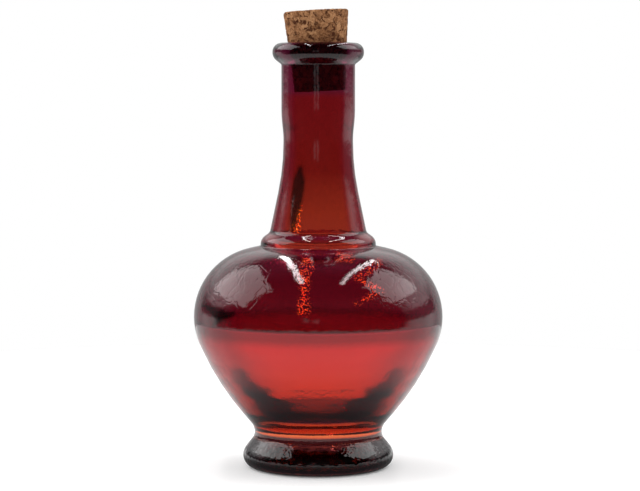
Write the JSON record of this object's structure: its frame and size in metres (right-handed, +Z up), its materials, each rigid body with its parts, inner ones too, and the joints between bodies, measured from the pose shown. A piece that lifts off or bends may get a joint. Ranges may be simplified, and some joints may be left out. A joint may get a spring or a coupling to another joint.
{
  "type": "bottle",
  "caption": "Round-bellied ruby glass bottle on a flared solid foot, with a collared neck, a rolled lip, a leaning tapered cork and red drink to its widest ring.",
  "frame": {"origin": "centre of the ring that the foot stands on, at table level", "axes": "+Z up along the axis of the bottle; the side seen first faces -Y; +X is to the right as seen from there, and the cork leans towards -X"},
  "size_m": [0.0848, 0.0848, 0.156],
  "materials": {
    "ruby_glass": "gloss",
    "cork": "matt, granular",
    "drink": "clear red liquid"
  },
  "bodies": {
    "root": {"bottle": "ruby_glass", "cork": "cork", "drink": "drink"}
  },
  "joints": []
}
